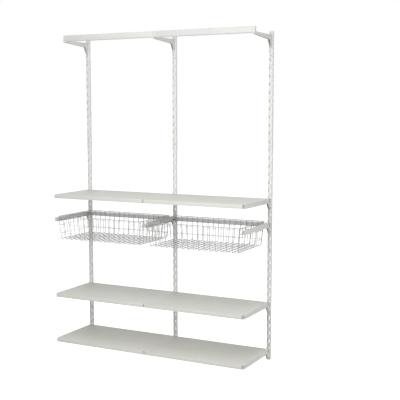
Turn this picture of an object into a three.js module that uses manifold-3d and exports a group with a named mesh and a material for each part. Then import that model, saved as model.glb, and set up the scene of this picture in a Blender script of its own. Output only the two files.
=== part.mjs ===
// Wall mounted closet system: slotted uprights, hooked brackets, shelves, a clothes rail and
// two pull-out wire baskets. Millimetres, +Z up. The wall is the plane y = 0, the system stands
// out of it towards -Y, x = 0 is the middle upright and z = 0 is the foot of the uprights.

import * as THREE from 'three';
import { mergeVertices } from 'three/addons/utils/BufferGeometryUtils.js';
import Module from 'manifold-3d';

const wasm = await Module();
wasm.setup();

// Clearances and working values
const seatGap = 0.3;
const cutOverrun = 2;
const screwSides = 8;
const arcSteps = 4;

// Uprights: folded channels, open towards the wall, with two columns of slots in front
const uprightHeight = 1960;
const uprightWidth = 25;
const uprightDepth = 18;
const uprightSheet = 1.6;
const uprightLip = 6;
const uprightFold = 1.5;
const bayPitch = 642;

const slotPitch = 48;
const slotEndMargin = 20;
const slotHeight = 17;
const slotWidth = 4;
const slotColumnSpacing = 12;

// Wall screws, each through the web between two rows of slots
const screwRowShares = [0.025, 0.325, 0.65, 0.925];
const screwLength = 45;
const screwShankRadius = 2.2;
const screwHeadRadius = 4;
const screwHeadHeight = 3;
const screwHeadRim = 1;
const screwTipLength = 5;
const screwHoleClearance = 0.5;

// Hooks on every bracket
const hookNeckHeight = 7.4;
const hookDrop = 8;
const hookReach = 5;
const hookRamp = 2;

// Long brackets, which carry the shelves and the baskets
const bracketSheet = 1.5;
const bracketLevelAboveSlot = 2;
const armWidth = 7.4;
const armFrontInset = 12;
const armKneeHeight = 28;
const armKneeReach = 37;
const tailHeight = 69;
const tailReach = 5;

// Shelves: foil covered boards whose ends lie on the brackets' shoulders
const shelfThickness = 23;
const shelfDepth = 380;
const shelfRearGap = 8;
const shelfEndGap = 4;
const shelfEdgeRounding = 0.8;
const upperShelfRowShare = 0.5;
const lowerShelfRowShare = 0.175;
const bottomShelfRowShare = 0.025;

// Rail brackets and the clothes rail with its joiner and end caps
const railBracketReach = 255;
const railBracketLevelBelowSlot = 4;
const railBracketTipHeight = 13;
const railBracketKneeReach = 35;
const railBracketTailHeight = 76;
const railBracketTailReach = 5;
const railHeight = 39;
const railDepth = 15;
const railWall = 1.2;
const railSeatDepth = 9;
const railTipInset = 12;
const railOverhang = 7;
const joinerCollarLength = 20;
const joinerCollarRise = 0.5;
const joinerSleeveLength = 30;
const joinerWall = 2;
const capThickness = 2;
const capPlugLength = 12;

// Basket frames: a channel on each bracket arm and a crossbar behind the basket
const basketRowShare = 0.425;
const runnerSheet = 1.2;
const runnerHeight = 20;
const runnerTopDrop = 6;
const runnerFlange = 7;
const runnerNose = 8;
const runnerTabLength = 30;
const runnerTabInset = 45;
const crossbarDepth = 12;
const crossbarRise = 11;
const crossbarTongueHeight = 7;
const crossbarTongueReach = 2;
const crossbarTongueDrop = 2;

// Wire baskets
const basketWire = 3;
const basketRimWire = 5;
const basketRimRise = 8;
const basketHeight = 147;
const basketSideGap = 22;
const basketFrontGap = 7;
const basketBackGap = 2;
const basketWallLean = 12;
const basketRowPitch = 52.5;
const basketWirePitch = 49;
const basketFloorPitch = 96;
const basketSkidWire = 5;
const basketSkidSideGap = 1.25;
const basketSkidFrontGap = 4;
const basketSkidBackGap = 12;

// Places that follow from the sizes above
const slotRows = Math.floor((uprightHeight - 2 * slotEndMargin) / slotPitch) + 1;
const bracketHalfWidth = slotColumnSpacing / 2 + bracketSheet / 2;
const ledgeDrop = shelfThickness + seatGap;
const bracketRear = -(uprightDepth + seatGap);
const shelfRear = -(uprightDepth + shelfRearGap);
const shelfFront = shelfRear - shelfDepth;
const cheekFront = shelfRear + seatGap;
const armFront = shelfFront + armFrontInset;
const railCentreY = -(uprightDepth + railBracketReach - railTipInset);
const railHalfLength = bayPitch + railOverhang;
const runnerWebOuter = bracketHalfWidth + seatGap;
const runnerWebInner = runnerWebOuter + runnerSheet;
const runnerFloor = -(runnerTopDrop + runnerHeight);
const crossbarFront = shelfRear - crossbarDepth;

// Colours of the finishes
const whiteSteel = { color: 0xe9e9e6, roughness: 0.45, metalness: 0 };
const whiteBoard = { color: 0xecece8, roughness: 0.5, metalness: 0 };
const whitePlastic = { color: 0xe6e6e3, roughness: 0.4, metalness: 0 };
const greySteel = { color: 0xb9bab8, roughness: 0.45, metalness: 0 };
const zincSteel = { color: 0xb6b8ba, roughness: 0.35, metalness: 0.9 };

const closet = new THREE.Group();

function slotCentre(row) {
  return slotEndMargin + row * slotPitch;
}

function rowAt(share) {
  return Math.max(1, Math.round(share * (slotRows - 1)));
}

function asSolid(geometry) {
  const bare = geometry.clone();
  bare.deleteAttribute('normal');
  bare.deleteAttribute('uv');
  const merged = mergeVertices(bare);
  const mesh = new wasm.Mesh({
    numProp: 3,
    vertProperties: new Float32Array(merged.attributes.position.array),
    triVerts: new Uint32Array(merged.index.array),
  });
  return new wasm.Manifold(mesh);
}

function asGeometry(solid) {
  const mesh = solid.getMesh();
  const geometry = new THREE.BufferGeometry();
  geometry.setAttribute('position', new THREE.BufferAttribute(mesh.vertProperties, 3));
  geometry.setIndex(new THREE.BufferAttribute(mesh.triVerts, 1));
  geometry.computeVertexNormals();
  return geometry;
}

function outline(points) {
  return new THREE.Shape(points.map(([a, b]) => new THREE.Vector2(a, b)));
}

function rectangle(lowA, lowB, highA, highB) {
  return outline([[lowA, lowB], [highA, lowB], [highA, highB], [lowA, highB]]);
}

function oval(height, depth) {
  const radius = depth / 2;
  const straight = height / 2 - radius;
  const shape = new THREE.Shape();
  shape.absarc(0, straight, radius, 0, Math.PI, false);
  shape.absarc(0, -straight, radius, Math.PI, 2 * Math.PI, false);
  shape.closePath();
  return shape;
}

function ovalRing(height, depth, wall) {
  const ring = oval(height, depth);
  ring.holes.push(oval(height - 2 * wall, depth - 2 * wall));
  return ring;
}

// Shapes are drawn as (y, z) and pulled along x
function extrudeAlongX(shapes, lowX, highX) {
  const options = { depth: highX - lowX, bevelEnabled: false, curveSegments: arcSteps };
  const geometry = new THREE.ExtrudeGeometry(shapes, options);
  const toYZ = new THREE.Matrix4().makeBasis(
    new THREE.Vector3(0, 1, 0),
    new THREE.Vector3(0, 0, 1),
    new THREE.Vector3(1, 0, 0),
  );
  return geometry.applyMatrix4(toYZ).translate(lowX, 0, 0);
}

// Shapes are drawn as (x, z) and pulled along y
function extrudeAlongY(shapes, lowY, highY) {
  const options = { depth: highY - lowY, bevelEnabled: false, curveSegments: arcSteps };
  const geometry = new THREE.ExtrudeGeometry(shapes, options);
  const toXZ = new THREE.Matrix4().makeBasis(
    new THREE.Vector3(1, 0, 0),
    new THREE.Vector3(0, 0, 1),
    new THREE.Vector3(0, -1, 0),
  );
  return geometry.applyMatrix4(toXZ).translate(0, highY, 0);
}

// Shapes are drawn as (x, y) and pulled along z
function extrudeAlongZ(shapes, lowZ, highZ) {
  const options = { depth: highZ - lowZ, bevelEnabled: false, curveSegments: arcSteps };
  return new THREE.ExtrudeGeometry(shapes, options).translate(0, 0, lowZ);
}

function block(low, high) {
  const [lowX, lowY, lowZ] = low;
  const [highX, highY, highZ] = high;
  return asSolid(extrudeAlongZ(rectangle(lowX, lowY, highX, highY), lowZ, highZ));
}

function addMesh(name, geometry, finish, x, y, z) {
  const mesh = new THREE.Mesh(geometry, new THREE.MeshStandardMaterial(finish));
  mesh.name = name;
  mesh.position.set(x, y, z);
  closet.add(mesh);
  return mesh;
}

function uprightSection() {
  const half = uprightWidth / 2;
  const web = -uprightDepth;
  return outline([
    [-half + uprightFold, web],
    [half - uprightFold, web],
    [half, web + uprightFold],
    [half, 0],
    [half - uprightLip, 0],
    [half - uprightLip, -uprightSheet],
    [half - uprightSheet, -uprightSheet],
    [half - uprightSheet, web + uprightSheet],
    [-half + uprightSheet, web + uprightSheet],
    [-half + uprightSheet, -uprightSheet],
    [-half + uprightLip, -uprightSheet],
    [-half + uprightLip, 0],
    [-half, 0],
    [-half, web + uprightFold],
  ]);
}

function screwHeights() {
  return screwRowShares.map((share) => slotCentre(rowAt(share)) + slotPitch / 2);
}

function uprightGeometry() {
  const cuts = [];
  for (let row = 0; row < slotRows; row += 1) {
    for (const side of [-1, 1]) {
      const x = side * slotColumnSpacing / 2;
      const z = slotCentre(row);
      cuts.push(rectangle(x - slotWidth / 2, z - slotHeight / 2, x + slotWidth / 2, z + slotHeight / 2));
    }
  }
  for (const height of screwHeights()) {
    const hole = new THREE.Shape();
    hole.absarc(0, height, screwShankRadius + screwHoleClearance, 0, 2 * Math.PI, false);
    cuts.push(hole);
  }
  const channel = asSolid(extrudeAlongZ(uprightSection(), 0, uprightHeight));
  const web = -uprightDepth;
  const holes = asSolid(extrudeAlongY(cuts, web - cutOverrun, web + uprightSheet + cutOverrun));
  return asGeometry(channel.subtract(holes));
}

// The screw lies along y, with the underside of its head at y = 0 and its tip towards the wall
function wallScrewGeometry() {
  const profile = [
    [0, -screwHeadHeight],
    [screwHeadRadius - screwHeadRim, -screwHeadHeight],
    [screwHeadRadius, -screwHeadHeight + screwHeadRim],
    [screwHeadRadius, 0],
    [screwShankRadius, 0],
    [screwShankRadius, screwLength - screwTipLength],
    [0, screwLength],
  ];
  const points = profile.map(([radius, along]) => new THREE.Vector2(radius, along));
  return asGeometry(asSolid(new THREE.LatheGeometry(points, screwSides)));
}

// One hook, from the bracket's rear edge through the slot and down behind the upright's web
function hookPoints(slotZ) {
  const neckLow = slotZ - slotHeight / 2 + seatGap;
  const neckHigh = neckLow + hookNeckHeight;
  const inner = -(uprightDepth - uprightSheet) + seatGap;
  const tip = inner + hookReach;
  return [
    [bracketRear, neckLow],
    [inner, neckLow],
    [inner, neckLow - hookDrop],
    [tip, neckLow - hookDrop + hookRamp],
    [tip, neckHigh - hookRamp],
    [tip - hookRamp, neckHigh],
    [bracketRear, neckHigh],
  ];
}

// The drooping edge from the knee under the arm to the lowest point of the tail
function tailPoints(kneeReach, lowReach, lowHeight) {
  return [
    [bracketRear - kneeReach, -armKneeHeight],
    [bracketRear - lowReach, -lowHeight],
    [bracketRear, -lowHeight],
  ];
}

function pairOfPlates(points) {
  const outer = asSolid(extrudeAlongX(outline(points), bracketHalfWidth - bracketSheet, bracketHalfWidth));
  const inner = asSolid(extrudeAlongX(outline(points), -bracketHalfWidth, -bracketHalfWidth + bracketSheet));
  return outer.add(inner);
}

// A narrow folded arm between the shelf ends, shoulders under the shelves, and skirts that
// deepen towards the upright and end in the tail and the hooks. z = 0 is the arm's top.
function longBracketGeometry() {
  const half = armWidth / 2;
  const ledgeLow = ledgeDrop + bracketSheet;
  const arm = outline([
    [-bracketHalfWidth, -ledgeLow],
    [-half + bracketSheet, -ledgeLow],
    [-half + bracketSheet, -bracketSheet],
    [half - bracketSheet, -bracketSheet],
    [half - bracketSheet, -ledgeLow],
    [bracketHalfWidth, -ledgeLow],
    [bracketHalfWidth, -ledgeDrop],
    [half, -ledgeDrop],
    [half, 0],
    [-half, 0],
    [-half, -ledgeDrop],
    [-bracketHalfWidth, -ledgeDrop],
  ]);
  const slotZ = -bracketLevelAboveSlot;
  const skirts = pairOfPlates([
    [bracketRear, 0],
    [cheekFront, 0],
    [cheekFront, -ledgeDrop],
    [armFront, -ledgeDrop],
    [armFront, -ledgeLow],
    ...tailPoints(armKneeReach, tailReach, tailHeight),
    ...hookPoints(slotZ - slotPitch),
    ...hookPoints(slotZ),
  ]);
  const saddle = block([-bracketHalfWidth, cheekFront, -bracketSheet], [bracketHalfWidth, bracketRear, 0]);
  const folded = asSolid(extrudeAlongY(arm, armFront, bracketRear));
  return asGeometry(folded.add(skirts).add(saddle));
}

// A folded channel, open below, with a seat for the rail near its tip. z = 0 is its top.
function railBracketGeometry() {
  const half = bracketHalfWidth;
  const tip = -(uprightDepth + railBracketReach);
  const slotZ = railBracketLevelBelowSlot;
  const sides = pairOfPlates([
    [bracketRear, 0],
    [tip, 0],
    [tip, -railBracketTipHeight],
    ...tailPoints(railBracketKneeReach, railBracketTailReach, railBracketTailHeight),
    ...hookPoints(slotZ - slotPitch),
    ...hookPoints(slotZ),
  ]);
  const top = block([-half, tip, -bracketSheet], [half, bracketRear, 0]);
  const end = block([-half, tip, -railBracketTipHeight], [half, tip + bracketSheet, 0]);
  const seatHeight = railHeight + 2 * (joinerCollarRise + seatGap);
  const seatDepth = railDepth + 2 * (joinerCollarRise + seatGap);
  const seatOval = extrudeAlongX(oval(seatHeight, seatDepth), -half - cutOverrun, half + cutOverrun);
  const seat = asSolid(seatOval.translate(0, railCentreY, railHeight / 2 - railSeatDepth));
  return asGeometry(sides.add(top).add(end).subtract(seat));
}

function shelfGeometry() {
  const length = bayPitch - 2 * shelfEndGap;
  const r = shelfEdgeRounding;
  const low = shelfFront;
  const high = shelfRear;
  const section = outline([
    [low + r, -shelfThickness],
    [high - r, -shelfThickness],
    [high, -shelfThickness + r],
    [high, -r],
    [high - r, 0],
    [low + r, 0],
    [low, -r],
    [low, -shelfThickness + r],
  ]);
  return asGeometry(asSolid(extrudeAlongX(section, -length / 2, length / 2)));
}

function railTubeGeometry() {
  const length = railHalfLength - capThickness - joinerCollarLength / 2 - 2 * seatGap;
  return extrudeAlongX(ovalRing(railHeight, railDepth, railWall), -length / 2, length / 2);
}

function joinerGeometry() {
  const outerHeight = railHeight - 2 * (railWall + seatGap);
  const outerDepth = railDepth - 2 * (railWall + seatGap);
  const sleeveHalf = joinerCollarLength / 2 + joinerSleeveLength;
  const sleeve = extrudeAlongX(ovalRing(outerHeight, outerDepth, joinerWall), -sleeveHalf, sleeveHalf);
  const collarRing = ovalRing(
    railHeight + 2 * joinerCollarRise,
    railDepth + 2 * joinerCollarRise,
    joinerCollarRise + railWall + seatGap + joinerWall / 2,
  );
  const collar = extrudeAlongX(collarRing, -joinerCollarLength / 2, joinerCollarLength / 2);
  return asGeometry(asSolid(sleeve).add(asSolid(collar)));
}

function endCapGeometry() {
  const plugHeight = railHeight - 2 * (railWall + seatGap);
  const plugDepth = railDepth - 2 * (railWall + seatGap);
  const face = extrudeAlongX(oval(railHeight, railDepth), 0, capThickness);
  const plug = extrudeAlongX(ovalRing(plugHeight, plugDepth, joinerWall), -capPlugLength, capThickness / 2);
  return asGeometry(asSolid(face).add(asSolid(plug)));
}

// A channel that hangs with two tabs over one bracket arm and opens to the side where its
// basket is. Its nose is round. x = 0 is the bracket's middle.
function runnerGeometry(side) {
  const sidePiece = (low, high) => block(
    [Math.min(side * low[0], side * high[0]), low[1], low[2]],
    [Math.max(side * low[0], side * high[0]), high[1], high[2]],
  );
  const hookTop = seatGap + runnerSheet;
  const channelTop = -runnerTopDrop;
  const flangeTip = runnerWebInner + runnerFlange;
  const flangeFront = shelfFront + runnerNose;
  const flangeRear = crossbarFront - seatGap;
  const webMiddle = side * (runnerWebOuter + runnerWebInner) / 2;
  const nosed = new THREE.Shape();
  nosed.moveTo(shelfRear, runnerFloor);
  nosed.lineTo(shelfRear, channelTop);
  nosed.absarc(flangeFront, channelTop - runnerNose, runnerNose, Math.PI / 2, Math.PI, false);
  nosed.absarc(flangeFront, runnerFloor + runnerNose, runnerNose, Math.PI, 3 * Math.PI / 2, false);
  nosed.closePath();
  let channel = asSolid(extrudeAlongX(nosed, webMiddle - runnerSheet / 2, webMiddle + runnerSheet / 2));
  const low = sidePiece(
    [runnerWebOuter, flangeFront, runnerFloor],
    [flangeTip, flangeRear, runnerFloor + runnerSheet],
  );
  const high = sidePiece(
    [runnerWebOuter, flangeFront, channelTop - runnerSheet],
    [flangeTip, flangeRear, channelTop],
  );
  channel = channel.add(low).add(high);
  for (const start of [armFront + runnerTabInset, shelfRear - runnerTabInset - runnerTabLength]) {
    const end = start + runnerTabLength;
    const rise = sidePiece([runnerWebOuter, start, channelTop - runnerSheet], [runnerWebInner, end, hookTop]);
    const over = sidePiece([seatGap, start, seatGap], [runnerWebInner, end, hookTop]);
    channel = channel.add(rise).add(over);
  }
  const tongueTop = channelTop - crossbarTongueDrop;
  const tongueLow = tongueTop - crossbarTongueHeight;
  const notch = sidePiece(
    [runnerWebOuter - cutOverrun, shelfRear - runnerSheet - seatGap, tongueLow - seatGap],
    [runnerWebInner + cutOverrun, shelfRear + cutOverrun, tongueTop + seatGap],
  );
  return asGeometry(channel.subtract(notch));
}

// A channel behind the basket, open to the front, whose back stands up to the basket's rim,
// with a tongue at each end. x = 0 is mid bay.
function crossbarGeometry() {
  const half = bayPitch / 2 - runnerWebInner - seatGap;
  const channelTop = -runnerTopDrop;
  const tongueTop = channelTop - crossbarTongueDrop;
  const tongueEnd = half + seatGap + runnerSheet + crossbarTongueReach;
  const webTop = channelTop + crossbarRise;
  const web = block([-half, shelfRear - runnerSheet, runnerFloor], [half, shelfRear, webTop]);
  const low = block([-half, crossbarFront, runnerFloor], [half, shelfRear, runnerFloor + runnerSheet]);
  const high = block([-half, crossbarFront, channelTop - runnerSheet], [half, shelfRear, channelTop]);
  const tongues = block(
    [-tongueEnd, shelfRear - runnerSheet, tongueTop - crossbarTongueHeight],
    [tongueEnd, shelfRear, tongueTop],
  );
  return asGeometry(web.add(low).add(high).add(tongues));
}

// Outer half sizes of the basket's walls: they lean in towards the floor
const basket = {
  top: basketRimRise + basketRimWire / 2,
  floor: basketRimRise + basketRimWire / 2 - basketHeight,
  halfWidth: bayPitch / 2 - basketSideGap,
  front: shelfFront + basketFrontGap,
  back: crossbarFront - basketBackGap,
};
basket.halfDepth = (basket.back - basket.front) / 2;
basket.middleY = (basket.back + basket.front) / 2;

function basketInset(z) {
  return basketWallLean * (basket.top - z) / basketHeight;
}

// A box with leaning walls, drawn about the basket's middle and shrunk by the given wall
function leaningBox(lowZ, highZ, wall) {
  const corners = [];
  for (const z of [lowZ, highZ]) {
    const halfX = basket.halfWidth - basketInset(z) - wall;
    const halfY = basket.halfDepth - basketInset(z) - wall;
    corners.push(-halfX, basket.middleY - halfY, z, halfX, basket.middleY - halfY, z);
    corners.push(halfX, basket.middleY + halfY, z, -halfX, basket.middleY + halfY, z);
  }
  const faces = [0, 2, 1, 0, 3, 2, 4, 5, 6, 4, 6, 7, 0, 1, 5, 0, 5, 4];
  faces.push(1, 2, 6, 1, 6, 5, 2, 3, 7, 2, 7, 6, 3, 0, 4, 3, 4, 7);
  const geometry = new THREE.BufferGeometry();
  geometry.setAttribute('position', new THREE.BufferAttribute(new Float32Array(corners), 3));
  geometry.setIndex(faces);
  return asSolid(geometry);
}

// Heights of the openings between the rim, the level wires and the floor wires
function basketRows() {
  const rows = [];
  const rimZ = basketRimRise;
  let high = rimZ - basketRimWire / 2;
  let wireZ = rimZ - basketRowPitch;
  while (wireZ - basketWire > basket.floor + basketWire) {
    rows.push([wireZ + basketWire / 2, high]);
    high = wireZ - basketWire / 2;
    wireZ -= basketRowPitch;
  }
  rows.push([basket.floor + basketWire, high]);
  return rows;
}

// Openings of one pair of walls, each bounded by two upright wires that fan with the lean
function wallOpenings(middle, half, pitch) {
  const columns = Math.round(2 * half / pitch);
  const openings = [];
  const wireAt = (line, z) => (2 * line / columns - 1) * (half - basketInset(z) - basketWire / 2) + middle;
  for (const [low, high] of basketRows()) {
    for (let column = 0; column < columns; column += 1) {
      openings.push(outline([
        [wireAt(column, low) + basketWire / 2, low],
        [wireAt(column + 1, low) - basketWire / 2, low],
        [wireAt(column + 1, high) - basketWire / 2, high],
        [wireAt(column, high) + basketWire / 2, high],
      ]));
    }
  }
  return openings;
}

function floorOpenings() {
  const halfX = basket.halfWidth - basketWallLean - basketWire / 2;
  const halfY = basket.halfDepth - basketWallLean - basketWire / 2;
  const columns = Math.round(2 * halfX / basketFloorPitch);
  const rows = Math.round(2 * halfY / basketFloorPitch);
  const openings = [];
  for (let column = 0; column < columns; column += 1) {
    for (let row = 0; row < rows; row += 1) {
      const lowX = (2 * column / columns - 1) * halfX + basketWire / 2;
      const highX = (2 * (column + 1) / columns - 1) * halfX - basketWire / 2;
      const lowY = basket.middleY + (2 * row / rows - 1) * halfY + basketWire / 2;
      const highY = basket.middleY + (2 * (row + 1) / rows - 1) * halfY - basketWire / 2;
      openings.push(rectangle(lowX, lowY, highX, highY));
    }
  }
  return openings;
}

function basketRim() {
  const low = basketRimRise - basketRimWire / 2;
  const ring = rectangle(-basket.halfWidth, basket.front, basket.halfWidth, basket.back);
  const w = basketRimWire;
  ring.holes.push(rectangle(-basket.halfWidth + w, basket.front + w, basket.halfWidth - w, basket.back - w));
  return asSolid(extrudeAlongZ(ring, low, low + w));
}

// A round wire beside each side wall that slides in the runner, on short cross wires
function basketSkid(side) {
  const radius = basketSkidWire / 2;
  const x = side * (bayPitch / 2 - runnerWebInner - basketSkidSideGap - radius);
  const z = runnerFloor + runnerSheet + seatGap + radius;
  const front = basket.front + basketSkidFrontGap;
  const back = basket.back - basketSkidBackGap;
  const round = new THREE.Shape();
  round.absarc(x, z, radius, 0, 2 * Math.PI, false);
  let skid = asSolid(extrudeAlongY(round, front, back));
  const half = basket.halfDepth;
  const columns = Math.round(2 * half / basketWirePitch);
  const wallX = side * (basket.halfWidth - basketInset(z) - basketWire / 2);
  for (let line = 1; line < columns; line += 2) {
    const y = basket.middleY + (2 * line / columns - 1) * (half - basketInset(z) - basketWire / 2);
    skid = skid.add(block(
      [Math.min(x, wallX), y - basketWire / 2, z - basketWire / 2],
      [Math.max(x, wallX), y + basketWire / 2, z + basketWire / 2],
    ));
  }
  return skid;
}

function basketGeometry() {
  const shell = leaningBox(basket.floor, basketRimRise, 0);
  const hollow = leaningBox(basket.floor + basketWire, basket.top + cutOverrun, basketWire);
  const frontCuts = wallOpenings(0, basket.halfWidth, basketWirePitch);
  const sideCuts = wallOpenings(basket.middleY, basket.halfDepth, basketWirePitch);
  const throughY = asSolid(extrudeAlongY(frontCuts, basket.front - cutOverrun, basket.back + cutOverrun));
  const reach = basket.halfWidth + cutOverrun;
  const throughX = asSolid(extrudeAlongX(sideCuts, -reach, reach));
  const floorCuts = extrudeAlongZ(
    floorOpenings(),
    basket.floor - cutOverrun,
    basket.floor + basketWire + cutOverrun,
  );
  const net = shell.subtract(hollow).subtract(throughY).subtract(throughX).subtract(asSolid(floorCuts));
  return asGeometry(net.add(basketRim()).add(basketSkid(-1)).add(basketSkid(1)));
}

const sides = [['left', -1], ['middle', 0], ['right', 1]];
const bays = [['left', -1], ['right', 1]];
const railLevel = slotCentre(slotRows - 1) - railBracketLevelBelowSlot;
const basketLevel = slotCentre(rowAt(basketRowShare)) + bracketLevelAboveSlot;
const shelfLevels = [
  ['upper', slotCentre(rowAt(upperShelfRowShare)) + bracketLevelAboveSlot],
  ['lower', slotCentre(rowAt(lowerShelfRowShare)) + bracketLevelAboveSlot],
  ['bottom', slotCentre(rowAt(bottomShelfRowShare)) + bracketLevelAboveSlot],
];

function addUprights() {
  const channel = uprightGeometry();
  const screw = wallScrewGeometry();
  for (const [side, step] of sides) {
    addMesh(`upright_${side}`, channel, whiteSteel, step * bayPitch, 0, 0);
    screwHeights().forEach((height, index) => {
      const name = `wall_screw_${side}_${index + 1}`;
      addMesh(name, screw, zincSteel, step * bayPitch, -uprightDepth - seatGap, height);
    });
  }
}

function addBrackets() {
  const long = longBracketGeometry();
  const short = railBracketGeometry();
  for (const [side, step] of sides) {
    addMesh(`rail_bracket_${side}`, short, whiteSteel, step * bayPitch, 0, railLevel);
    addMesh(`basket_bracket_${side}`, long, whiteSteel, step * bayPitch, 0, basketLevel);
    for (const [level, height] of shelfLevels) {
      addMesh(`shelf_bracket_${level}_${side}`, long, whiteSteel, step * bayPitch, 0, height);
    }
  }
}

function addShelves() {
  const board = shelfGeometry();
  for (const [level, height] of shelfLevels) {
    for (const [bay, step] of bays) {
      addMesh(`shelf_${level}_${bay}`, board, whiteBoard, step * bayPitch / 2, 0, height);
    }
  }
}

function addRail() {
  const tube = railTubeGeometry();
  const cap = endCapGeometry();
  const z = railLevel - railSeatDepth + railHeight / 2;
  const tubeMiddle = (railHalfLength - capThickness + joinerCollarLength / 2) / 2;
  for (const [bay, step] of bays) {
    addMesh(`clothes_rail_${bay}`, tube, whiteSteel, step * tubeMiddle, railCentreY, z);
    const end = addMesh(`rail_end_cap_${bay}`, cap, whitePlastic, 0, railCentreY, z);
    end.position.x = step * (railHalfLength - capThickness);
    end.rotation.z = step < 0 ? Math.PI : 0;
  }
  addMesh('rail_joiner', joinerGeometry(), whitePlastic, 0, railCentreY, z);
}

function addBaskets() {
  const net = basketGeometry();
  const rightward = runnerGeometry(1);
  const leftward = runnerGeometry(-1);
  const crossbar = crossbarGeometry();
  for (const [bay, step] of bays) {
    const middle = step * bayPitch / 2;
    const low = middle - bayPitch / 2;
    const high = middle + bayPitch / 2;
    addMesh(`basket_${bay}`, net, whiteSteel, middle, 0, basketLevel);
    addMesh(`basket_crossbar_${bay}`, crossbar, greySteel, middle, 0, basketLevel);
    addMesh(`basket_runner_${bay}_a`, rightward, greySteel, low, 0, basketLevel);
    addMesh(`basket_runner_${bay}_b`, leftward, greySteel, high, 0, basketLevel);
  }
}

addUprights();
addBrackets();
addShelves();
addRail();
addBaskets();

export default closet;
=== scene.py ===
"""Dresses the frame of a wall mounted closet system: coated steel, boards and wire baskets.

Metres, in the frame's own place: the wall is the plane y = 0, the system stands out of it
towards -Y, x = 0 is the middle upright and z = 0 is the foot of the uprights.
"""

import contextlib
import math

import bmesh
import bpy
from bpy.props import FloatProperty, FloatVectorProperty, IntProperty, PointerProperty
from bpy.types import Operator, Panel, PropertyGroup
from mathutils import Euler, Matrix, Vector


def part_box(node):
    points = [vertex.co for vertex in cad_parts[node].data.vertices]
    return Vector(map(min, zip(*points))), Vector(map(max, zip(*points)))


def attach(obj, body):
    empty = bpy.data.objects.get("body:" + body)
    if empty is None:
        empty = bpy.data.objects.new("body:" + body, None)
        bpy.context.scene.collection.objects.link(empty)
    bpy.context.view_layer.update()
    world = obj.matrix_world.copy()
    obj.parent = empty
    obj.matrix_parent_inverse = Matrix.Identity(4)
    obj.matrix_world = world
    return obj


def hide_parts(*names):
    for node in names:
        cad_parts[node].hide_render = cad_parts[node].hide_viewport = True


bl_info = {
    "name": "Wall Mounted Closet System",
    "version": (1, 0, 0),
    "blender": (4, 5, 0),
    "location": "3D View > Sidebar > Closet",
    "description": "Coated steel, foil covered boards and wire baskets of a closet system",
    "category": "Add Mesh",
}

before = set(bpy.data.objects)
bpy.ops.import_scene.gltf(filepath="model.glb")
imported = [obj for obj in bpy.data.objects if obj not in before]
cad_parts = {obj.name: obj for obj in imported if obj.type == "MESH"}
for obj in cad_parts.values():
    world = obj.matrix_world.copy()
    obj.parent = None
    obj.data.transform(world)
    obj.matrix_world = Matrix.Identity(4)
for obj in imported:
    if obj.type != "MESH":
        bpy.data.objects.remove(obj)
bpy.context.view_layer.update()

SIDES = ("left", "middle", "right")
BAYS = ("left", "right")
LEVELS = ("upper", "lower", "bottom")
SYSTEM = "system"
SCREW_NUMBERS = range(1, 5)
# How far from a plane a corner or the middle of an edge may be and still lie in it
NEAR = 0.0005
VERY_NEAR = 0.0001
# How far apart two corners of a CAD node's triangles may be and still be one
MERGED = 0.00001
# Least cosine between an axis and an edge that runs along it, or a face that looks along it
ALONG = 0.999
FACING = 0.9
# Angles under which faces are one plane, and under which sheet and wire are shaded smooth
FLAT = math.radians(1)
SHARP = math.radians(35)
WIRE_SHARP = math.radians(60)
# The sockets that a Mix node uses for colours
FACTOR, COLOUR_A, COLOUR_B, MIXED = 0, 6, 7, 2
WHITE = (1, 1, 1)
FLOOR_SIZE = 60
FLOOR_GREY = 0.8
OBJECT_MIDDLE = Vector((0, -0.2, 1))
CAMERA_PLACE = (2.4566, -4.5179, 1.4899)
CAMERA_TURN = (math.radians(83.89), 0, math.radians(26.84))
# Degrees to the right of the front and above the level, and metres from OBJECT_MIDDLE
LAMP_PLACES = {"front_lamp": (10, 15, 2.5), "side_lamp": (120, 10, 5), "top_lamp": (20, 60, 5)}


def linear(code):
    """The scene-linear colour of an sRGB hex value."""
    channels = [int(code[start:start + 2], 16) / 255 for start in (0, 2, 4)]
    return [c / 12.92 if c <= 0.04045 else ((c + 0.055) / 1.055) ** 2.4 for c in channels]


def shaded(tint, share=1):
    """A share of a finish's colour, as a node's socket takes it."""
    return [*(channel * share for channel in tint), 1]


def scale_for(width):
    """The scale of a pattern whose patches are about width millimetres across."""
    return 1000 / width


def length(name, description, default):
    """A property that holds a length in metres."""
    return FloatProperty(
        name=name, description=description, default=default, min=0, precision=5, unit="LENGTH"
    )


def power(name, description, default):
    """A property that holds the power of a lamp in watts."""
    return FloatProperty(
        name=name, description=description, default=default, min=0, unit="POWER"
    )


def colour(name, description, code):
    """A property that holds the colour of a finish."""
    return FloatVectorProperty(
        name=name, description=description, default=linear(code), min=0, max=1, subtype="COLOR"
    )


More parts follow.
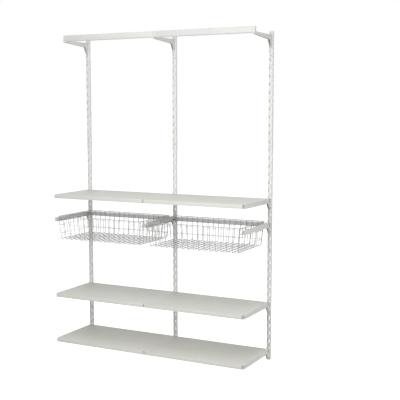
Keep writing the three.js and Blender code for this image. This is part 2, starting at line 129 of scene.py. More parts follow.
class ClosetSizes(PropertyGroup):
    """Sizes of the details that a maker would change."""

    sheet: length("Sheet", "Thickness of the steel that the uprights are folded from", 0.0016)
    lip: length("Lip", "Width of the lips that lie against the wall", 0.006)
    fold: length("Fold", "Outer radius of the folds of the uprights", 0.0024)
    slot_pitch: length("Slot pitch", "Distance from slot to slot", 0.048)
    slot_first: length("First slot", "Height of the lowest slot's middle above the foot", 0.020)
    slot_width: length("Slot width", "Width of a slot", 0.004)
    slot_height: length("Slot height", "Height of a slot", 0.017)
    slot_columns: length("Slot columns", "Distance between the two columns of slots", 0.012)
    slot_rows: IntProperty(name="Slot rows", description="Number of slots in a column", default=41)
    coat_edge: length("Coat edge", "Rounding that the coat gives to a cut edge", 0.0004)
    knee: length("Knee", "Radius of the brackets' under edge at the knee", 0.004)
    knee_drop: length("Knee drop", "How far the knee lies below a bracket's top", 0.028)
    board_edge: length("Board edge", "Rounding of the boards' edges", 0.0009)
    tube_wall: length("Tube wall", "Thickness of the rail's tube", 0.0012)
    frame_sheet: length("Frame sheet", "Thickness of the steel of the basket frames", 0.0012)
    trim_wall: length("Trim wall", "Thickness of the lips of a crossbar's trim", 0.0007)
    trim_height: length("Trim height", "Height of the trim on a crossbar", 0.0108)
    trim_grip: length("Trim grip", "How far a trim's lips reach over the crossbar's edge", 0.0013)
    trim_inset: length("Trim inset", "From a crossbar's tongues in to its trim's ends", 0.006)
    wire: length("Wire", "Diameter of the wires of a basket's front and back", 0.0046)
    side_wire: length("Side wire", "Diameter of the wires of a basket's sides", 0.0028)
    level_wire: length("Level wire", "Diameter of the level wires", 0.0024)
    rim_wire: length("Rim wire", "Diameter of the rim and the skids", 0.0038)
    under_rim: length("Under rim", "Distance down from the rim to the first level wire", 0.008)
    rim_half: length("Rim half width", "Half the width of a basket over its rim", 0.299)
    wire_pitch: length("Wire pitch", "Distance from wire to wire, about", 0.0375)
    corner_gap: length("Corner gap", "Distance of the last wire from a basket's corner", 0.003)
    level_pitch: length("Level pitch", "Distance down from the rim to a level wire", 0.0526)
    wall_lean: length("Wall lean", "How far a basket's wall leans in at the floor", 0.012)
    wire_bend: length("Wire bend", "Radius of the bends in the wires", 0.009)
    corner_bend: length("Corner bend", "Radius of the level wires' corners", 0.006)
    rim_bend: length("Rim bend", "Radius of the rim's corners", 0.016)
    skid_reach: length("Skid reach", "From a basket's middle out to its skid wires", 0.309)
    skid_drop: length("Skid drop", "From the rim down to the skid wires", 0.0308)
    skid_inset: length("Skid inset", "From a basket's front and back in to its skids' ends", 0.008)


class ClosetFinishes(PropertyGroup):
    """Colours of the finishes."""

    upright: colour("Uprights", "Powder coat of the uprights", "ebebe8")
    bracket: colour("Brackets", "Powder coat of the brackets", "e3e3e0")
    rail: colour("Rail", "Powder coat of the clothes rail", "e3e3e0")
    runner: colour("Basket frames", "Powder coat of the runners and crossbars", "e9eae8")
    wire: colour("Wire", "Coat of the basket wires", "c2c3c2")
    foil: colour("Foil", "Melamine foil of the boards", "e0e0d9")
    band: colour("Edge band", "Edge band of the boards", "dadbd7")
    plastic: colour("Plastic", "End caps and joiner of the rail", "e2e2df")
    # The trim's colour is painted light: near-white and see-through, it makes the crossbars' upper
    # edges look lit.
    painted_light_trim: colour("Trim", "Trim on the crossbars", "f8f8f5")
    zinc: colour("Zinc", "Zinc plate of the screws", "b4b6b9")


class ClosetStudio(PropertyGroup):
    """Light, floor and lens."""

    lens: FloatProperty(name="Lens", description="Focal length", default=73.8, unit="CAMERA")
    front_lamp: power("Front lamp", "Power of the low lamp in front", 31)
    side_lamp: power("Side lamp", "Power of the low lamp behind on the right", 48)
    top_lamp: power("Top lamp", "Power of the high lamp", 88)
    lamp_size: FloatProperty(
        name="Lamp size", description="Side of a lamp as a share of its distance", default=0.7
    )
    ambient: FloatProperty(
        name="Ambient", description="Strength of the room's light", default=0.318
    )
    floor_glow: FloatProperty(
        name="Floor glow", description="Light that only a look at the floor sees", default=0.9
    )
    floor_drop: length("Floor drop", "How far the floor lies below the uprights", 0.32)


def only(piece):
    """Makes piece the one selected and active object."""
    bpy.ops.object.select_all(action="DESELECT")
    piece.select_set(True)
    bpy.context.view_layer.objects.active = piece
    return piece


def settle(piece):
    """Puts a piece's place, turn and scale into its mesh."""
    only(piece)
    bpy.ops.object.transform_apply(location=True, rotation=True, scale=True)
    return piece


def start(name, primitive, scale=(1, 1, 1), **settings):
    """Adds a primitive at its size and place."""
    bpy.ops.object.select_all(action="DESELECT")
    getattr(bpy.ops.mesh, f"primitive_{primitive}_add")(**settings)
    bpy.context.active_object.scale = scale
    piece = settle(bpy.context.active_object)
    piece.name = name
    piece.data.name = name
    return piece


def start_block(name, low, high):
    """Adds a block between two corners."""
    low, high = Vector(low), Vector(high)
    return start(name, "cube", size=1, location=(low + high) / 2, scale=high - low)


@contextlib.contextmanager
def editing(piece):
    """Edit mode on one piece."""
    only(piece)
    bpy.ops.object.mode_set(mode="EDIT")
    bpy.ops.mesh.select_all(action="SELECT")
    yield
    bpy.ops.object.mode_set(mode="OBJECT")


def pick(piece, kind, test):
    """Selects the corners, edges or faces that pass a test, in edit mode."""
    bpy.ops.mesh.select_mode(type=kind)
    bpy.ops.mesh.select_all(action="DESELECT")
    mesh = bmesh.from_edit_mesh(piece.data)
    parts = {"VERT": mesh.verts, "EDGE": mesh.edges, "FACE": mesh.faces}[kind]
    for part in parts:
        if test(part):
            part.select = True
    mesh.select_flush_mode()
    bmesh.update_edit_mesh(piece.data)


def middle(edge):
    """The middle point of an edge."""
    return (edge.verts[0].co + edge.verts[1].co) / 2


def runs_along(edge, axis):
    """Whether an edge runs along an axis: 0, 1 or 2."""
    return abs((edge.verts[1].co - edge.verts[0].co).normalized()[axis]) > ALONG


def finish_with(piece, kind, **settings):
    """Adds a modifier and applies it."""
    only(piece)
    modifier = piece.modifiers.new(kind.title(), kind)
    for name, value in settings.items():
        setattr(modifier, name, value)
    bpy.ops.object.modifier_apply(modifier=modifier.name)


def repeat(piece, count, step):
    """Repeats a piece's shape count times, a step apart."""
    finish_with(
        piece,
        "ARRAY",
        count=count,
        use_relative_offset=False,
        use_constant_offset=True,
        constant_offset_displace=step,
    )


def soften(piece, width):
    """Rounds the sharp edges and shades what curves smoothly."""
    finish_with(
        piece, "BEVEL", width=width, segments=2, limit_method="ANGLE", angle_limit=SHARP
    )
    only(piece)
    bpy.ops.object.shade_smooth_by_angle(angle=SHARP)


def cut(piece, tool):
    """Takes the tool's shape out of the piece, and the tool away."""
    finish_with(piece, "BOOLEAN", operation="DIFFERENCE", solver="EXACT", object=tool)
    bpy.data.objects.remove(tool)


def join(name, pieces):
    """Makes one piece of several."""
    only(pieces[0])
    for piece in pieces[1:]:
        piece.select_set(True)
    bpy.ops.object.join()
    pieces[0].name = name
    pieces[0].data.name = name
    return pieces[0]


def copy_to(piece, name, shift):
    """A copy of a piece with its own mesh, moved by shift."""
    only(piece)
    bpy.ops.object.duplicate()
    bpy.ops.transform.translate(value=shift)
    twin = settle(bpy.context.active_object)
    twin.name = name
    twin.data.name = name
    return twin


def copy_node(node, name):
    """A copy of a CAD node's mesh, merged, with its flat faces in one piece."""
    piece = bpy.data.objects.new(name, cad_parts[node].data.copy())
    bpy.context.scene.collection.objects.link(piece)
    piece.data.name = name
    with editing(piece):
        bpy.ops.mesh.remove_doubles(threshold=MERGED)
        bpy.ops.mesh.customdata_custom_splitnormals_clear()
        bpy.ops.mesh.dissolve_limited(angle_limit=FLAT)
    return piece


def hand_in(piece, body, slot, nodes, *coats):
    """Gives a finished piece its coats and its body, and hides the nodes that it stands for. slot
    is not used.
    """
    piece.data.materials.clear()
    for coat in coats:
        piece.data.materials.append(coat)
    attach(piece, body)
    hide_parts(*nodes)


def place(node):
    """The middle of a CAD node's box."""
    low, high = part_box(node)
    return (low + high) / 2


def hand_in_all(original, node, targets, ending, slot, *coats):
    """Hands in a piece of the system for its own node, and a copy of it for each like node."""
    for target in targets:
        piece = original
        if target != node:
            piece = copy_to(original, f"{target}_{ending}", place(target) - place(node))
        hand_in(piece, SYSTEM, slot, [target], *coats)


def new_material(name):
    """An empty material and its node tree."""
    material = bpy.data.materials.new(name)
    material.use_nodes = True
    material.node_tree.nodes.clear()
    return material, material.node_tree


def add_node(tree, kind, settings=(), links=(), **options):
    """Adds a node with its socket values, the sockets that feed it, and its options."""
    node = tree.nodes.new(kind)
    for name, value in options.items():
        setattr(node, name, value)
    for socket, value in dict(settings).items():
        node.inputs[socket].default_value = value
    for socket, source in dict(links).items():
        tree.links.new(source, node.inputs[socket])
    return node


def coated_steel(name, tint, peel, rough):
    """Powder coated steel: a thick even coat with orange peel, which blurs each highlight.

    peel is the length of its waves in millimetres. The coat's tone drifts by one or two
    hundredths over a hand's width, as the powder lies thicker or thinner.
    """
    material, tree = new_material(name)
    where = add_node(tree, "ShaderNodeTexCoord").outputs["Object"]
    drift = add_node(
        tree,
        "ShaderNodeTexNoise",
        {"Scale": scale_for(111.11), "Detail": 3, "Roughness": 0.5},
        {"Vector": where},
    )
    tone = add_node(
        tree,
        "ShaderNodeMix",
        {COLOUR_A: shaded(tint, 0.965), COLOUR_B: shaded(tint)},
        {FACTOR: drift.outputs["Fac"]},
        data_type="RGBA",
    )
    waves = add_node(
        tree,
        "ShaderNodeTexNoise",
        {"Scale": scale_for(peel), "Detail": 2, "Roughness": 0.4},
        {"Vector": where},
    )
    relief = add_node(
        tree,
        "ShaderNodeBump",
        {"Strength": 0.35, "Distance": 0.00012},
        {"Height": waves.outputs["Fac"]},
    )
    sheen = add_node(
        tree,
        "ShaderNodeMapRange",
        {"To Min": rough - 0.06, "To Max": rough + 0.06},
        {"Value": drift.outputs["Fac"]},
    )
    shader = add_node(
        tree,
        "ShaderNodeBsdfPrincipled",
        {"IOR": 1.5},
        {
            "Base Color": tone.outputs[MIXED],
            "Roughness": sheen.outputs["Result"],
            "Normal": relief.outputs["Normal"],
        },
    )
    add_node(tree, "ShaderNodeOutputMaterial", (), {"Surface": shader.outputs["BSDF"]})
    return material


def melamine_foil(name, tint, grain, rough):
    """Melamine foil on chipboard: matt and even, with the press plate's fine pearl grain.

    grain is its width in millimetres. A long soft mottle of the board below shows through it.
    """
    material, tree = new_material(name)
    where = add_node(tree, "ShaderNodeTexCoord").outputs["Object"]
    mottle = add_node(
        tree,
        "ShaderNodeTexNoise",
        {"Scale": scale_for(71.43), "Detail": 4, "Roughness": 0.6},
        {"Vector": where},
    )
    pearl = add_node(
        tree,
        "ShaderNodeTexVoronoi",
        {"Scale": scale_for(grain), "Randomness": 1},
        {"Vector": where},
        feature="SMOOTH_F1",
    )
    blend = add_node(
        tree,
        "ShaderNodeMath",
        (),
        {0: mottle.outputs["Fac"], 1: pearl.outputs["Distance"]},
        operation="MULTIPLY",
    )
    tone = add_node(
        tree,
        "ShaderNodeMix",
        {COLOUR_A: shaded(tint), COLOUR_B: shaded(tint, 0.95)},
        {FACTOR: blend.outputs[0]},
        data_type="RGBA",
    )
    relief = add_node(
        tree,
        "ShaderNodeBump",
        {"Strength": 0.3, "Distance": 0.00006},
        {"Height": pearl.outputs["Distance"]},
    )
    sheen = add_node(
        tree,
        "ShaderNodeMapRange",
        {"To Min": rough - 0.05, "To Max": rough + 0.08},
        {"Value": mottle.outputs["Fac"]},
    )
    shader = add_node(
        tree,
        "ShaderNodeBsdfPrincipled",
        {"IOR": 1.5},
        {
            "Base Color": tone.outputs[MIXED],
            "Roughness": sheen.outputs["Result"],
            "Normal": relief.outputs["Normal"],
        },
    )
    add_node(tree, "ShaderNodeOutputMaterial", (), {"Surface": shader.outputs["BSDF"]})
    return material


def moulded_plastic(name, tint, clear=0):
    """Plastic from an eroded mould or die: an even satin with a grain of 0.5 mm.

    clear is the share of the light that goes through, as it does in unfilled polypropylene.
    """
    material, tree = new_material(name)
    where = add_node(tree, "ShaderNodeTexCoord").outputs["Object"]
    grain = add_node(
        tree,
        "ShaderNodeTexNoise",
        {"Scale": scale_for(0.5), "Detail": 2, "Roughness": 0.6},
        {"Vector": where},
    )
    flow = add_node(
        tree,
        "ShaderNodeTexNoise",
        {"Scale": scale_for(25), "Detail": 2, "Roughness": 0.5},
        {"Vector": where},
    )
    tone = add_node(
        tree,
        "ShaderNodeMix",
        {COLOUR_A: shaded(tint, 0.97), COLOUR_B: shaded(tint)},
        {FACTOR: flow.outputs["Fac"]},
        data_type="RGBA",
    )
    relief = add_node(
        tree,
        "ShaderNodeBump",
        {"Strength": 0.3, "Distance": 0.00003},
        {"Height": grain.outputs["Fac"]},
    )
    shader = add_node(
        tree,
        "ShaderNodeBsdfPrincipled",
        {"IOR": 1.53, "Roughness": 0.42, "Transmission Weight": clear},
        {"Base Color": tone.outputs[MIXED], "Normal": relief.outputs["Normal"]},
    )
    add_node(tree, "ShaderNodeOutputMaterial", (), {"Surface": shader.outputs["BSDF"]})
    return material


def zinc_plate(name, tint):
    """Zinc plated steel: a bluish metal, with clouds of 1 to 2 mm where the bath drained."""
    material, tree = new_material(name)
    where = add_node(tree, "ShaderNodeTexCoord").outputs["Object"]
    clouds = add_node(
        tree,
        "ShaderNodeTexNoise",
        {"Scale": scale_for(1.6667), "Detail": 4, "Roughness": 0.6},
        {"Vector": where},
    )
    tone = add_node(
        tree,
        "ShaderNodeMix",
        {COLOUR_A: shaded(tint, 0.8), COLOUR_B: shaded(tint)},
        {FACTOR: clouds.outputs["Fac"]},
        data_type="RGBA",
    )
    sheen = add_node(
        tree,
        "ShaderNodeMapRange",
        {"To Min": 0.25, "To Max": 0.5},
        {"Value": clouds.outputs["Fac"]},
    )
    shader = add_node(
        tree,
        "ShaderNodeBsdfPrincipled",
        {"Metallic": 1},
        {"Base Color": tone.outputs[MIXED], "Roughness": sheen.outputs["Result"]},
    )
    add_node(tree, "ShaderNodeOutputMaterial", (), {"Surface": shader.outputs["BSDF"]})
    return material


# The punch and the drill of the uprights
SLOT_CORNER_SHARE = 0.3
SCREW_HOLE = 0.0027
OVERRUN = 0.01


class CLOSET_OT_uprights(Operator):
    """Fold one slotted channel, punch its slots and screw holes, and copy it to its places"""

    bl_idname = "closet.uprights"
    bl_label = "Uprights"

    def execute(self, context):
        sizes = context.scene.closet_sizes
        low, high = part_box("upright_middle")
        channel = self.fold(sizes, low, high)
        cut(channel, self.punch(sizes, low.y))
        soften(channel, sizes.coat_edge / 2)
        finishes = context.scene.closet_finishes
        coat = coated_steel("Powder coated steel, white", finishes.upright, peel=2.5, rough=0.45)
        nodes = [f"upright_{side}" for side in SIDES]
        hand_in_all(channel, "upright_middle", nodes, "coated", "upright_steel", coat)
        return {"FINISHED"}

    def fold(self, sizes, low, high):
        """A web, folded back at both sides and in again to the lips, with its thickness."""
        channel = start(
            "upright_middle_coated",
            "plane",
            size=1,
            location=(0, low.y, high.z / 2),
            rotation=(math.pi / 2, 0, 0),
            scale=(2 * high.x, high.z, 1),
        )
        with editing(channel):
            pick(channel, "EDGE", lambda edge: runs_along(edge, 2))
            bpy.ops.mesh.extrude_edges_move(TRANSFORM_OT_translate={"value": (0, -low.y, 0)})
            for side in (-1, 1):
                pick(
                    channel,
                    "EDGE",
                    lambda edge: runs_along(edge, 2)
                    and middle(edge).y > -NEAR
                    and middle(edge).x * side > 0,
                )
                bpy.ops.mesh.extrude_edges_move(
                    TRANSFORM_OT_translate={"value": (-side * sizes.lip, 0, 0)}
                )
            pick(channel, "EDGE", lambda edge: runs_along(edge, 2) and not edge.is_boundary)
            bpy.ops.mesh.bevel(offset=sizes.fold, segments=4)
            bpy.ops.mesh.select_all(action="SELECT")
            bpy.ops.mesh.normals_make_consistent(inside=False)
        finish_with(channel, "SOLIDIFY", thickness=sizes.sheet, offset=-1, use_even_offset=True)
        return channel

    def punch(self, sizes, web_y):
        """The tool that takes all slots and screw holes out of a web."""
        slots = start_block(
            "slot_punch",
            (-sizes.slot_width / 2, web_y - OVERRUN, sizes.slot_first - sizes.slot_height / 2),
            (sizes.slot_width / 2, web_y + OVERRUN, sizes.slot_first + sizes.slot_height / 2),
        )
        with editing(slots):
            pick(slots, "EDGE", lambda edge: runs_along(edge, 1))
            bpy.ops.mesh.bevel(offset=sizes.slot_width * SLOT_CORNER_SHARE, segments=2)
            bpy.ops.mesh.select_all(action="SELECT")
            bpy.ops.transform.translate(value=(-sizes.slot_columns / 2, 0, 0))
        repeat(slots, 2, (sizes.slot_columns, 0, 0))
        repeat(slots, sizes.slot_rows, (0, 0, sizes.slot_pitch))
        drills = [
            start(
                "screw_drill",
                "cylinder",
                vertices=24,
                radius=SCREW_HOLE,
                depth=2 * OVERRUN,
                location=(0, web_y, place(f"wall_screw_middle_{number}").z),
                rotation=(math.pi / 2, 0, 0),
            )
            for number in SCREW_NUMBERS
        ]
        return join("upright_punch", [slots, *drills])


# A wall screw: its head and the cross in it, its shank and its thread
HEAD_HEIGHT = 0.003
HEAD_ROUNDING = 0.0014
CROSS_DEPTH = 0.0018
CROSS_HALF_WIDTH = 0.0005
CROSS_REACH_SHARE = 0.62
CROSS_TAPER_SHARES = (0.4, 1, 0.7)
CROSS_START = 0.001
SHANK_RADIUS = 0.0016
SHANK_RING_SHARE = 0.9
TIP_LENGTH = 0.006
TIP_SHARES = (0.1, 1, 0.1)
THREAD_RADIUS = 0.0007
THREAD_PITCH = 0.0018
THREAD_START = 0.003
THREAD_STAND_OFF = 0.0001
SHANK_BARE = 0.004


class CLOSET_OT_wall_screws(Operator):
    """Make one pan head screw with a cross recess and a thread, and copy it to its places"""

    bl_idname = "closet.wall_screws"
    bl_label = "Wall screws"

    def execute(self, context):
        low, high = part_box("wall_screw_middle_1")
        height = place("wall_screw_middle_1").z
        neck = low.y + HEAD_HEIGHT
        pieces = [
            self.head(low.y, neck, high.x, height),
            self.shank(neck, high.y, height),
            self.thread(neck, high.y, height),
        ]
        screw = join("wall_screw_middle_1_plated", pieces)
        only(screw)
        bpy.ops.object.shade_smooth_by_angle(angle=SHARP)
        coat = zinc_plate("Zinc plated steel", context.scene.closet_finishes.zinc)
        nodes = [f"wall_screw_{side}_{number}" for side in SIDES for number in SCREW_NUMBERS]
        hand_in_all(screw, "wall_screw_middle_1", nodes, "plated", "screw_zinc", coat)
        return {"FINISHED"}

    def head(self, top, neck, radius, height):
        """A low cylinder along y with a rounded top, and a cross cut into it."""
        head = start(
            "screw_head",
            "cylinder",
            vertices=32,
            radius=radius,
            depth=neck - top,
            location=(0, (top + neck) / 2, height),
            rotation=(math.pi / 2, 0, 0),
        )
        with editing(head):
            pick(
                head,
                "EDGE",
                lambda edge: middle(edge).y < top + VERY_NEAR and not runs_along(edge, 1),
            )
            bpy.ops.mesh.bevel(offset=HEAD_ROUNDING, segments=4)
        for blade in [self.blade(top, radius, height, turn) for turn in (0, math.pi / 2)]:
            cut(head, blade)
        return head

    def blade(self, top, radius, height, turn):
        """The tool for one arm of the cross, narrower and shorter towards the cross's floor."""
        reach = radius * CROSS_REACH_SHARE
        blade = start_block(
            "cross_blade",
            (-reach, top - CROSS_START, -CROSS_HALF_WIDTH),
            (reach, top + CROSS_DEPTH, CROSS_HALF_WIDTH),
        )
        with editing(blade):
            pick(blade, "FACE", lambda face: face.normal.y > FACING)
            bpy.ops.transform.resize(value=CROSS_TAPER_SHARES)
        blade.rotation_euler.y = turn
        blade.location.z = height
        return settle(blade)

    def shank(self, neck, tip, height):
        """A cylinder along y with a blunt point."""
        shank = start(
            "screw_shank",
            "cylinder",
            vertices=16,
            radius=SHANK_RADIUS,
            depth=tip - neck,
            location=(0, (tip + neck) / 2, height),
            rotation=(math.pi / 2, 0, 0),
        )
        centre = Vector((0, tip, height))
        with editing(shank):
            pick(shank, "FACE", lambda face: face.normal.y > FACING)
            bpy.ops.mesh.extrude_region_move(TRANSFORM_OT_translate={"value": (0, 0, 0)})
            bpy.ops.transform.resize(value=TIP_SHARES)
            pick(
                shank,
                "EDGE",
                lambda edge: middle(edge).y > tip - VERY_NEAR
                and (middle(edge) - centre).length > SHANK_RADIUS * SHANK_RING_SHARE,
            )
            bpy.ops.transform.translate(value=(0, -TIP_LENGTH, 0))
        return shank

    def thread(self, neck, tip, height):
        """A three-sided wire wound around the shank up to its point."""
        thread = start(
            "screw_thread",
            "circle",
            vertices=3,
            radius=THREAD_RADIUS,
            location=(SHANK_RADIUS + THREAD_STAND_OFF, neck + THREAD_START, 0),
            rotation=(0, 0, -math.pi / 2),
        )
        finish_with(
            thread,
            "SCREW",
            axis="Y",
            angle=2 * math.pi,
            screw_offset=THREAD_PITCH,
            iterations=int((tip - neck - TIP_LENGTH - SHANK_BARE) / THREAD_PITCH),
            steps=12,
            render_steps=12,
        )
        with editing(thread):
            pick(thread, "EDGE", lambda edge: edge.is_boundary)
            bpy.ops.mesh.edge_face_add()
            bpy.ops.mesh.select_all(action="SELECT")
            bpy.ops.mesh.normals_make_consistent(inside=False)
            bpy.ops.transform.translate(value=(0, 0, height))
        return thread


def bend_knee(piece, height, radius):
    """Rounds the under edge of a bracket's plates where the arm turns into the tail."""
    with editing(piece):
        pick(
            piece,
            "EDGE",
            lambda edge: runs_along(edge, 0) and abs(middle(edge).z - height) < NEAR,
        )
        bpy.ops.mesh.bevel(offset=radius, segments=5)


class CLOSET_OT_brackets(Operator):
    """Round the knees and edges of one long and one short bracket, and copy them"""

    bl_idname = "closet.brackets"
    bl_label = "Brackets"

    def execute(self, context):
        sizes = context.scene.closet_sizes
        finishes = context.scene.closet_finishes
        coat = coated_steel(
            "Powder coated steel, brackets", finishes.bracket, peel=2.2, rough=0.42
        )
        long_ones = ("basket_bracket", *(f"shelf_bracket_{level}" for level in LEVELS))
        for likes in (("rail_bracket",), long_ones):
            node = f"{likes[0]}_middle"
            bracket = copy_node(node, f"{node}_coated")
            bend_knee(bracket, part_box(node)[1].z - sizes.knee_drop, sizes.knee)
            soften(bracket, sizes.coat_edge)
            nodes = [f"{like}_{side}" for like in likes for side in SIDES]
            hand_in_all(bracket, node, nodes, "coated", "bracket_steel", coat)
        return {"FINISHED"}


# Greatest share of a face's normal that may point up or down where the edge band covers it
BAND_SHARE = 0.4


class CLOSET_OT_shelves(Operator):
    """Make one board with a foil top and banded edges, and copy it to its places"""

    bl_idname = "closet.shelves"
    bl_label = "Shelves"

    def execute(self, context):
        sizes = context.scene.closet_sizes
        finishes = context.scene.closet_finishes
        foil = melamine_foil("Melamine foil, white", finishes.foil, grain=1.2, rough=0.5)
        band = moulded_plastic("Edge band, ABS", finishes.band)
        first, *others = [f"shelf_{level}_{bay}" for level in LEVELS for bay in BAYS]
        board = start_block(f"{first}_board", *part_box(first))
        with editing(board):
            bpy.ops.mesh.bevel(offset=sizes.board_edge, segments=3)
        hand_in(board, SYSTEM, "shelf_board", [first], foil, band)
        with editing(board):
            pick(board, "FACE", lambda face: abs(face.normal.z) < BAND_SHARE)
            board.active_material_index = 1
            bpy.ops.object.material_slot_assign()
        only(board)
        bpy.ops.object.shade_smooth_by_angle(angle=SHARP)
        hand_in_all(board, first, others, "board", "shelf_board", foil, band)
        return {"FINISHED"}


def start_oval(name, low, high, closed=False):
    """An oval tube along x between two corners: a cylinder with its halves drawn apart."""
    depth = high.y - low.y
    centre = (low + high) / 2
    piece = start(
        name,
        "cylinder",
        vertices=48,
        radius=depth / 2,
        depth=high.x - low.x,
        end_fill_type="NGON" if closed else "NOTHING",
        location=centre,
        rotation=(0, math.pi / 2, 0),
    )
    reach = (high.z - low.z - depth) / 2
    with editing(piece):
        for side in (-1, 1):
            pick(piece, "VERT", lambda corner: (corner.co.z - centre.z) * side > VERY_NEAR)
            bpy.ops.transform.translate(value=(0, 0, side * reach))
    return piece


# The joiner of the clothes rail: its collar, and the wall and edges of its sleeve
COLLAR_RISE = 0.002
COLLAR_HALF = 0.01
SLEEVE_WALL = 0.0015
SLEEVE_EDGE = 0.0003
# An end cap of the clothes rail: its plate, and its hollow plug
CAP_PLATE = 0.002
CAP_ROUNDING = 0.0009
CAP_EDGE = 0.0002
PLUG_INSET = 0.0016
PLUG_LENGTH = 0.012
PLUG_WALL = 0.0015
PLUG_HOLLOW = 0.011


class CLOSET_OT_clothes_rail(Operator):
    """Draw the two oval tubes, their joiner and their end caps"""

    bl_idname = "closet.clothes_rail"
    bl_label = "Clothes rail"

    def execute(self, context):
        sizes = context.scene.closet_sizes
        finishes = context.scene.closet_finishes
        coat = coated_steel("Powder coated steel, rail", finishes.rail, peel=2.5, rough=0.4)
        plastic = moulded_plastic("Moulded ABS, white", finishes.plastic)
        for bay in BAYS:
            node = f"clothes_rail_{bay}"
            tube = start_oval(f"{node}_coated", *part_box(node))
            finish_with(tube, "SOLIDIFY", thickness=sizes.tube_wall, offset=-1)
            soften(tube, sizes.coat_edge)
            hand_in(tube, SYSTEM, "rail_steel", [node], coat)
        self.joiner(plastic)
        self.end_cap("rail_end_cap_left", -1, plastic)
        self.end_cap("rail_end_cap_right", 1, plastic)
        return {"FINISHED"}

    def joiner(self, plastic):
        """A sleeve whose middle is drawn out to the collar that shows between the tubes."""
        low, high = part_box("rail_joiner")
        rise = Vector((0, COLLAR_RISE, COLLAR_RISE))
        sleeve = start_oval("rail_joiner_moulded", low + rise, high - rise)
        with editing(sleeve):
            for side in (-1, 1):
                bpy.ops.mesh.select_all(action="SELECT")
                bpy.ops.mesh.bisect(plane_co=(side * COLLAR_HALF, 0, 0), plane_no=(1, 0, 0))
            pick(sleeve, "FACE", lambda face: abs(face.calc_center_median().x) < COLLAR_HALF)
            bpy.ops.mesh.extrude_region_shrink_fatten(
                TRANSFORM_OT_shrink_fatten={"value": rise.y}
            )
        finish_with(sleeve, "SOLIDIFY", thickness=SLEEVE_WALL, offset=-1)
        soften(sleeve, SLEEVE_EDGE)
        hand_in(sleeve, SYSTEM, "white_plastic", ["rail_joiner"], plastic)

    def end_cap(self, node, out, plastic):
        """An oval plate with a rounded rim, and behind it a hollow plug."""
        low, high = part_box(node)
        if out > 0:
            low.x = high.x - CAP_PLATE
        else:
            high.x = low.x + CAP_PLATE
        cap = start_oval(f"{node}_moulded", low, high, closed=True)
        face_x = high.x if out > 0 else low.x
        with editing(cap):
            pick(
                cap,
                "EDGE",
                lambda edge: abs(middle(edge).x - face_x) < VERY_NEAR and not runs_along(edge, 0),
            )
            bpy.ops.mesh.bevel(offset=CAP_ROUNDING, segments=4)
            pick(cap, "FACE", lambda face: face.normal.x * out < -FACING)
            for inset, reach in ((PLUG_INSET, -PLUG_LENGTH), (PLUG_WALL, PLUG_HOLLOW)):
                bpy.ops.mesh.inset(thickness=inset)
                bpy.ops.mesh.extrude_region_move(
                    TRANSFORM_OT_translate={"value": (out * reach, 0, 0)}
                )
        soften(cap, CAP_EDGE)
        hand_in(cap, SYSTEM, "white_plastic", [node], plastic)


# Rounding of the basket frames' edges, as a share of the other steel's
FRAME_EDGE_SHARE = 0.75
# Share of the light that goes through the trim, which with its near-white colour paints light onto
# the crossbar's upper edge
PAINTED_LIGHT_TRIM_CLEAR = 0.95


class CLOSET_OT_basket_frames(Operator):
    """Round the edges of the runners and crossbars, and put a trim of painted light on each
    crossbar
    """

    bl_idname = "closet.basket_frames"
    bl_label = "Basket frames"

    def execute(self, context):
        sizes = context.scene.closet_sizes
        finishes = context.scene.closet_finishes
        coat = coated_steel(
            "Powder coated steel, basket frames", finishes.runner, peel=2.2, rough=0.4
        )
        for kind in ("basket_runner_left_a", "basket_runner_left_b", "basket_crossbar_left"):
            channel = copy_node(kind, f"{kind}_coated")
            if "crossbar" in kind:
                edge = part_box(kind)[1] - Vector((0, 0, sizes.trim_height - sizes.trim_grip))
                with editing(channel):
                    bpy.ops.mesh.bisect(
                        plane_co=edge, plane_no=(0, 0, 1), clear_outer=True, use_fill=True
                    )
            soften(channel, sizes.coat_edge * FRAME_EDGE_SHARE)
            twin = kind.replace("left", "right")
            other = copy_to(channel, f"{twin}_coated", place(twin) - place(kind))
            hand_in(channel, SYSTEM, "runner_steel", [kind], coat)
            hand_in(other, SYSTEM, "runner_steel", [twin], coat)
        # The trim's near-white, see-through finish is painted light that makes each crossbar's
        # upper edge look lit.
        plastic = moulded_plastic("Extruded polypropylene, milky", finishes.painted_light_trim, PAINTED_LIGHT_TRIM_CLEAR)
        strip = self.painted_light_trim(sizes)
        other = copy_to(
            strip,
            "basket_crossbar_right_trim",
            place("basket_crossbar_right") - place("basket_crossbar_left"),
        )
        hand_in(strip, SYSTEM, "white_plastic", ["basket_crossbar_left"], plastic)
        hand_in(other, SYSTEM, "white_plastic", ["basket_crossbar_right"], plastic)
        return {"FINISHED"}

    def painted_light_trim(self, sizes):
        """A milky strip of painted light that carries a crossbar's edge on up, with lips over the
        steel.
        """
        low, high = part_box("basket_crossbar_left")
        wall = sizes.trim_wall
        strip = start_block(
            "basket_crossbar_left_trim",
            (
                low.x + sizes.trim_inset,
                high.y - sizes.frame_sheet - wall,
                high.z - sizes.trim_height,
            ),
            (high.x - sizes.trim_inset, high.y + wall, high.z),
        )
        with editing(strip):
            pick(strip, "FACE", lambda face: face.normal.z < -FACING)
            bpy.ops.mesh.inset(thickness=wall)
            bpy.ops.mesh.extrude_region_move(
                TRANSFORM_OT_translate={"value": (0, 0, sizes.trim_grip)}
            )
        soften(strip, wall / 3)
        return strip


def draw_wire(path, diameter, resolution):
    """Gives a path of edges its round thickness."""
    only(path)
    bpy.ops.object.convert(target="CURVE")
    path = bpy.context.active_object
    path.data.bevel_depth = diameter / 2
    path.data.bevel_resolution = resolution
    path.data.use_fill_caps = True
    bpy.ops.object.convert(target="MESH")
    path = bpy.context.active_object
    only(path)
    bpy.ops.object.shade_smooth_by_angle(angle=WIRE_SHARP)
    return path


